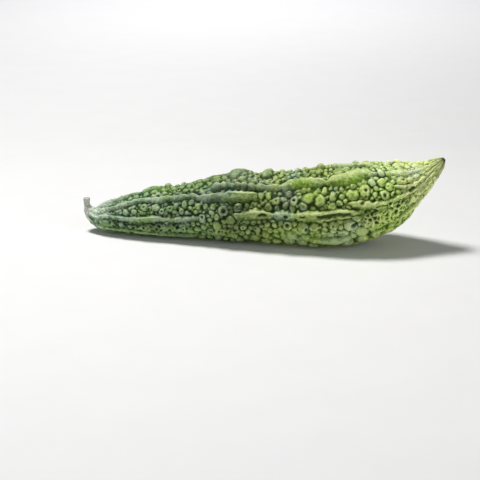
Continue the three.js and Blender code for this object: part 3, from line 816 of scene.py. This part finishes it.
    def cavity(self):
        """Below 0 in crevices and above 0 on what stands out: the height less its mean close by."""
        mean = self.height.copy()
        for _ in range(3):
            mean = (np.roll(mean, 1, 1) + np.roll(mean, -1, 1) + mean) / 3
            mean[1:-1] = (mean[2:] + mean[:-2] + mean[1:-1]) / 3
        return self.height - mean


def ring_places():
    """Where along the fruit the grid's rings lie: closer together on the stalk and the beak."""
    stalk = np.linspace(STALK_END, -117, 18, endpoint=False)
    neck = np.linspace(-117, -104, 24, endpoint=False)
    body = np.linspace(-104, 104, BODY_RINGS, endpoint=False)
    beak = 104 + (BEAK_END - 104) * np.sin(np.linspace(0, math.pi / 2, 30)) ** 0.9
    return np.concatenate([stalk, neck, body, beak])


def points_at(along, angle, height):
    """Where the grid's places are in space, with the skin raised there by height."""
    row = smooth(STATIONS, along)
    step = 0.5
    tangent = smooth(STATIONS, along + step)[:, 1:4] - smooth(STATIONS, along - step)[:, 1:4]
    tangent /= np.linalg.norm(tangent, axis=1, keepdims=True)
    front = np.array([0, -1, 0]) + tangent[:, 1:2] * tangent
    front /= np.linalg.norm(front, axis=1, keepdims=True)
    top = np.cross(front, tangent)
    turn = np.radians(angle)[None, :, None]
    out = front[:, None, :] * np.cos(turn) + top[:, None, :] * np.sin(turn)
    reach = (row[:, 4] - row[:, 5])[:, None] + height
    return row[:, None, 1:4] + out * reach[:, :, None]


def raise_relief():
    """The skin with its relief, how deep its creases are, and how much each place stands out."""
    warts = throw(LARGE_WARTS, WART_TRIES, WART_SEED, wart_radius, 0.98, 0.7)
    pebbles = throw(warts, PEBBLE_TRIES, PEBBLE_SEED, pebble_radius, 0.86, 0.2)[len(warts):]
    skin = Skin()
    skin.add_ribs()
    skin.add_folds(BEAK_FOLDS)
    skin.add_folds(NECK_FOLDS)
    skin.add_domes(pebbles, PEBBLE_SPREAD, 0.75, 0.62, 0, DETAIL_SEED + 1)
    skin.add_domes(warts, WART_SPREAD, 0.9, WART_HEIGHT, 0.4, DETAIL_SEED)
    skin.add_domes(TOP_DOMES, WART_SPREAD, 1.4, 1.5, 0, DETAIL_SEED + 2)
    skin.add_domes(scatter_beads(), WART_SPREAD, 1.1, 1.0, 0.4, DETAIL_SEED + 3)
    skin.add_nets()
    skin.add_lumps()
    crease = skin.dress()
    skin.add_pores()
    cavity = skin.cavity()
    skin.add_swellings()
    return skin, crease, cavity


def grid_faces(rings):
    """Faces between neighbouring rings, and triangles round the two vertices that close the ends."""
    faces = []
    neighbours = [(k, (k + 1) % COLUMNS) for k in range(COLUMNS)]
    for here in range(0, (rings - 1) * COLUMNS, COLUMNS):
        ahead = here + COLUMNS
        faces += [(here + a, here + b, ahead + b, ahead + a) for a, b in neighbours]
    stalk_middle = rings * COLUMNS
    last = stalk_middle - COLUMNS
    for a, b in neighbours:
        faces += [(stalk_middle, b, a), (stalk_middle + 1, last + a, last + b)]
    return faces


def store_fields(mesh, skin, crease, cavity):
    """Stores at each vertex what the material needs to know there."""
    along = np.repeat(skin.along, COLUMNS)
    fields = {
        "crest": skin.crest,
        "rib": skin.rib * skin.crest,
        "pit": skin.pit,
        "tint": skin.tint,
        "cavity": cavity * (1 - 0.6 * skin.soft),
        "light": smooth(LIGHTNESS, along)[:, 1],
        "beak": smoothstep(along, *BEAK),
        "crease": crease * (1 - 0.75 * skin.neck()),
        "blue": skin.round_patches(BLUE),
        "bright": skin.round_patches(BRIGHT),
        "pale": skin.round_patches(PALE),
        # edge carries the painted highlight line on the ribs; beside and shade carry painted shade.
        "edge": skin.edge * (1 - skin.pit),
        "beside": skin.beside,
        "shade": skin.round_patches(SHADE) * (1 - 0.8 * skin.rib.clip(0, 1)),
        "ripe": smoothstep(along, *RIPENS),
        "dry": smoothstep(along, *DRIES),
        "stalk": 1 - smoothstep(along, *STALK),
        "neck": skin.neck(),
    }
    # The values at the two vertices that close the stalk and the beak, where they aren't 0.5.
    ends_of = {"dry": (0, 1), "stalk": (1, 0), "ripe": (0, 1), "light": (1, 1), "beak": (0, 1)}
    for name, values in fields.items():
        ends = ends_of.get(name, (0.5, 0.5))
        attribute = mesh.attributes.new(name, "FLOAT", "POINT")
        attribute.data.foreach_set("value", np.concatenate([values.ravel(), ends]))


def make_gourd():
    """The whole fruit as one closed mesh, held inside the box of the part's solid."""
    skin, crease, cavity = raise_relief()
    points = points_at(skin.along, skin.angle, skin.height)
    ends = smooth(STATIONS, [STALK_END, BEAK_END])[:, 1:4]
    vertices = np.vstack([points.reshape(-1, 3), ends])
    vertices[:, 2] = np.maximum(vertices[:, 2] - REST_LEVEL, 0)
    low, high = np.array([list(corner) for corner in CAD_BOUNDS]) / MM
    vertices = np.clip(vertices, low, high)
    mesh = bpy.data.meshes.new("gourd_skin")
    mesh.from_pydata((vertices * MM).tolist(), [], grid_faces(len(skin.along)))
    mesh.shade_smooth()
    store_fields(mesh, skin, crease, cavity)
    return add_object("gourd_skin", mesh)


def linear(colour):
    """A colour as it is read on a screen, from 0 to 255, in the numbers that shaders use."""
    shares = [value / 255 for value in colour]
    return [x / 12.92 if x <= 0.04045 else ((x + 0.055) / 1.055) ** 2.4 for x in shares] + [1]


def add_object(name, data):
    made = bpy.data.objects.new(name, data)
    bpy.context.collection.objects.link(made)
    return made


class Nodes:
    """A short way to write a material's nodes. A value may be a number, a colour or a node's output."""

    def __init__(self, name):
        self.material = bpy.data.materials.new(name)
        self.material.use_nodes = True
        self.tree = self.material.node_tree
        self.shader = self.tree.nodes["Principled BSDF"]
        self.place = self.add("TexCoord").outputs["Object"]

    def put(self, node, inputs):
        """Gives a node's inputs, by name or number, their values."""
        for place, value in inputs.items():
            socket = node.inputs[place]
            if isinstance(value, bpy.types.NodeSocket):
                self.tree.links.new(value, socket)
            else:
                socket.default_value = value

    def add(self, kind, inputs=None, **settings):
        node = self.tree.nodes.new("ShaderNode" + kind)
        for name, value in settings.items():
            setattr(node, name, value)
        self.put(node, inputs or {})
        return node

    def attribute(self, name):
        return self.add("Attribute", attribute_name=name).outputs["Fac"]

    def mix(self, share, first, second, blend="MIX"):
        inputs = {0: share, 6: first, 7: second}
        return self.add("Mix", inputs, data_type="RGBA", blend_type=blend).outputs[2]

    def between(self, share, name):
        """The colour that lies at this share between the two of this name."""
        return self.mix(share, *map(linear, COLOURS[name]))

    def math(self, operation, first, second):
        return self.add("Math", {0: first, 1: second}, operation=operation).outputs[0]

    def plus(self, first, second):
        return self.math("ADD", first, second)

    def times(self, first, second):
        return self.math("MULTIPLY", first, second)

    def span(self, value, low, high, to_low=0.0, to_high=1.0):
        """A smooth step of value from low to high."""
        inputs = {0: value, 1: low, 2: high, 3: to_low, 4: to_high}
        return self.add("MapRange", inputs, interpolation_type="SMOOTHSTEP").outputs[0]

    def noise(self, size, detail=3.0):
        """Random lumps of about this size in mm, from 0 to 1."""
        inputs = {"Vector": self.place, "Scale": 1 / (size * MM), "Detail": detail, "Roughness": 0.55}
        return self.add("TexNoise", inputs).outputs[0]


def skin_material():
    """Waxy green skin that turns yellow-green towards the beak, with a dry brown tip, a grey stalk, and
    painted shade and highlights on its relief.
    """
    nodes = Nodes("gourd_skin")
    mix, span, plus, times, field = nodes.mix, nodes.span, nodes.plus, nodes.times, nodes.attribute
    crest, rib, pit, tint, cavity = map(field, ("crest", "rib", "pit", "tint", "cavity"))
    blue, bright, crease, beak = map(field, ("blue", "bright", "crease", "beak"))
    broad = nodes.noise(16)
    small = nodes.noise(2.2)
    fine = nodes.noise(0.6, 4)
    mottle = nodes.noise(1.1, 3)

    # It ripens unevenly. level is how high a place lies on its wart, and is less on a rib.
    ripeness = span(plus(field("ripe"), span(broad, 0.3, 0.7, -0.25, 0.25)), 0, 1)
    level = plus(crest, span(small, 0.25, 0.75, -0.25, 0.25))
    level = plus(level, span(tint, 0, 1, -0.14, 0.14))
    level = nodes.math("SUBTRACT", level, times(rib, 0.35))
    dark = nodes.between(ripeness, "dark")
    ripeness = plus(ripeness, span(tint, 0.1, 0.9, -0.14, 0.14))
    pale = nodes.between(ripeness, "pale")

    # Warts with paler tops and darker flanks, partly painted highlight and shade, and silvery and lime
    # patches.
    flank = nodes.between(ripeness, "flank")
    colour = mix(span(level, 0.1, 0.95), flank, nodes.between(ripeness, "top"))
    for patch, strength, name in (blue, 0.8, "silver"), (bright, 0.75, "lime"):
        colour = mix(times(patch, strength), colour, nodes.between(span(level, 0.2, 1.0), name))

    # A pale bloom on the ribs, and whitish skin on the beak, on the neck and in patches that are partly
    # painted highlight.
    bloom = times(span(rib, 0.65, 0.95), span(broad, 0.35, 0.65, 0.1, 0.42))
    colour = mix(times(bloom, span(blue, 0, 1, 1, 0.3)), colour, pale)
    colour = mix(span(beak, 0, 1, 0, 0.55), colour, linear(BEAK_COLOUR))
    neck = times(field("neck"), span(level, 0.0, 0.8, 0.35, 0.95))
    colour = mix(neck, colour, linear(NECK_COLOUR))
    whitish = times(field("pale"), span(level, 0.0, 0.8, 0.35, 0.8))
    colour = mix(whitish, colour, linear(WHITISH))

    # Painted highlight where it stands out, and painted shade in crevices, creases and holes, beside the
    # ribs and in patches.
    colour = mix(span(cavity, 0.1, 0.6, 0, 0.7), colour, pale)
    colour = mix(span(cavity, -0.08, -0.55, 0, 0.82), colour, dark)
    # Painted shade along the creases between the warts, weaker on the beak.
    crease_shade = times(span(crease, 0.3, 1.0, 0, 0.76), span(nodes.noise(7), 0.35, 0.65, 0.4, 1))
    colour = mix(times(crease_shade, span(beak, 0, 1, 1, 0.6)), colour, dark)
    # Painted shade in the holes, slits, dimples and pores.
    colour = mix(span(pit, 0.2, 1.0, 0, 0.86), colour, nodes.between(ripeness, "hole"))
    # Painted shade in the strip beside each rib.
    colour = mix(span(field("beside"), 0.1, 1.0, 0, 0.42), colour, dark)
    # Painted shade in patches, weaker on the tops of the warts.
    shade = times(field("shade"), span(level, 0.0, 0.9, 0.95, 0.5))
    colour = mix(shade, colour, dark)

    # Mottling, pale specks outside the holes, and the painted highlight line on the ribs.
    colour = mix(span(mottle, 0.5, 0.3, 0, 0.42), colour, dark)
    # Pale specks, stronger on the tops of the warts, partly the skin's frost and partly painted highlight.
    speckle = times(span(fine, 0.52, 0.7), span(level, 0.2, 0.9, 0.12, 0.5))
    colour = mix(times(speckle, span(pit, 0.1, 0.7, 1, 0)), colour, pale)
    colour = mix(1.0, colour, field("light"), "MULTIPLY")
    # The painted highlight line along the upper side of the ribs in view.
    edge = span(field("edge"), 0.3, 1.0, 0, 0.75)
    colour = mix(edge, colour, nodes.between(ripeness, "edge"))

    stalk = nodes.between(span(mottle, 0.3, 0.7), "stalk")
    colour = mix(span(field("stalk"), 0.1, 1.0), colour, stalk)
    colour = mix(field("dry"), colour, linear(DRY_TIP))

    rough = plus(span(level, 0.05, 0.8, 0.4, 0.0), span(small, 0.3, 0.7, 0.36, 0.54))
    height = plus(fine, nodes.noise(1.3, 2))
    bump = nodes.add("Bump", {"Strength": BUMP_STRENGTH, "Distance": BUMP_HEIGHT * MM, "Height": height})
    found = {"Base Color": colour, "Roughness": rough, "Normal": bump.outputs[0]}
    nodes.put(nodes.shader, {**found, **SETTINGS})
    return nodes.material


def floor_material():
    nodes = Nodes("floor")
    colour = nodes.between(nodes.noise(30), "floor")
    nodes.put(nodes.shader, {"Base Color": colour, "Roughness": 0.7})
    return nodes.material


def make_floor():
    mesh = bpy.data.meshes.new("floor")
    mesh.from_pydata(FLOOR_CORNERS, [], [(0, 1, 2, 3)])
    mesh.materials.append(floor_material())
    return add_object("floor", mesh)


def light_scene():
    world = bpy.data.worlds.new("studio")
    bpy.context.scene.world = world
    world.use_nodes = True
    background = world.node_tree.nodes["Background"]
    background.inputs["Color"].default_value = SKY
    background.inputs["Strength"].default_value = SKY_STRENGTH
    for name, place, power, size, colour, faced in LAMPS:
        light = bpy.data.lights.new(name, "AREA")
        light.energy = power
        light.size = size
        light.color = colour
        lamp = add_object(name, light)
        lamp.location = place
        lamp.rotation_euler = (Vector(place) - faced).to_track_quat("Z", "Y").to_euler()
    bpy.context.scene.view_settings.view_transform = "Standard"


def add_camera():
    level = Vector((math.sin(AZIMUTH), -math.cos(AZIMUTH), 0))
    back = level * math.cos(ELEVATION) + Vector((0, 0, math.sin(ELEVATION)))
    right = Vector((math.cos(AZIMUTH), math.sin(AZIMUTH), 0))
    up = back.cross(right)
    pixel = DISTANCE * SENSOR / (LENS * IMAGE_SIZE)
    aim = FRUIT_MIDDLE - right * (MIDDLE_PIXEL[0] - IMAGE_SIZE / 2) * pixel
    aim = aim + up * (MIDDLE_PIXEL[1] - IMAGE_SIZE / 2) * pixel
    data = bpy.data.cameras.new("camera")
    data.lens = LENS
    data.sensor_width = SENSOR
    camera = add_object("camera", data)
    camera.location = aim + back * DISTANCE
    camera.rotation_euler = back.to_track_quat("Z", "Y").to_euler()
    bpy.context.scene.camera = camera


gourd = make_gourd()
gourd.data.materials.append(skin_material())
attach(gourd, "root")
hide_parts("gourd")
make_floor()
light_scene()
add_camera()
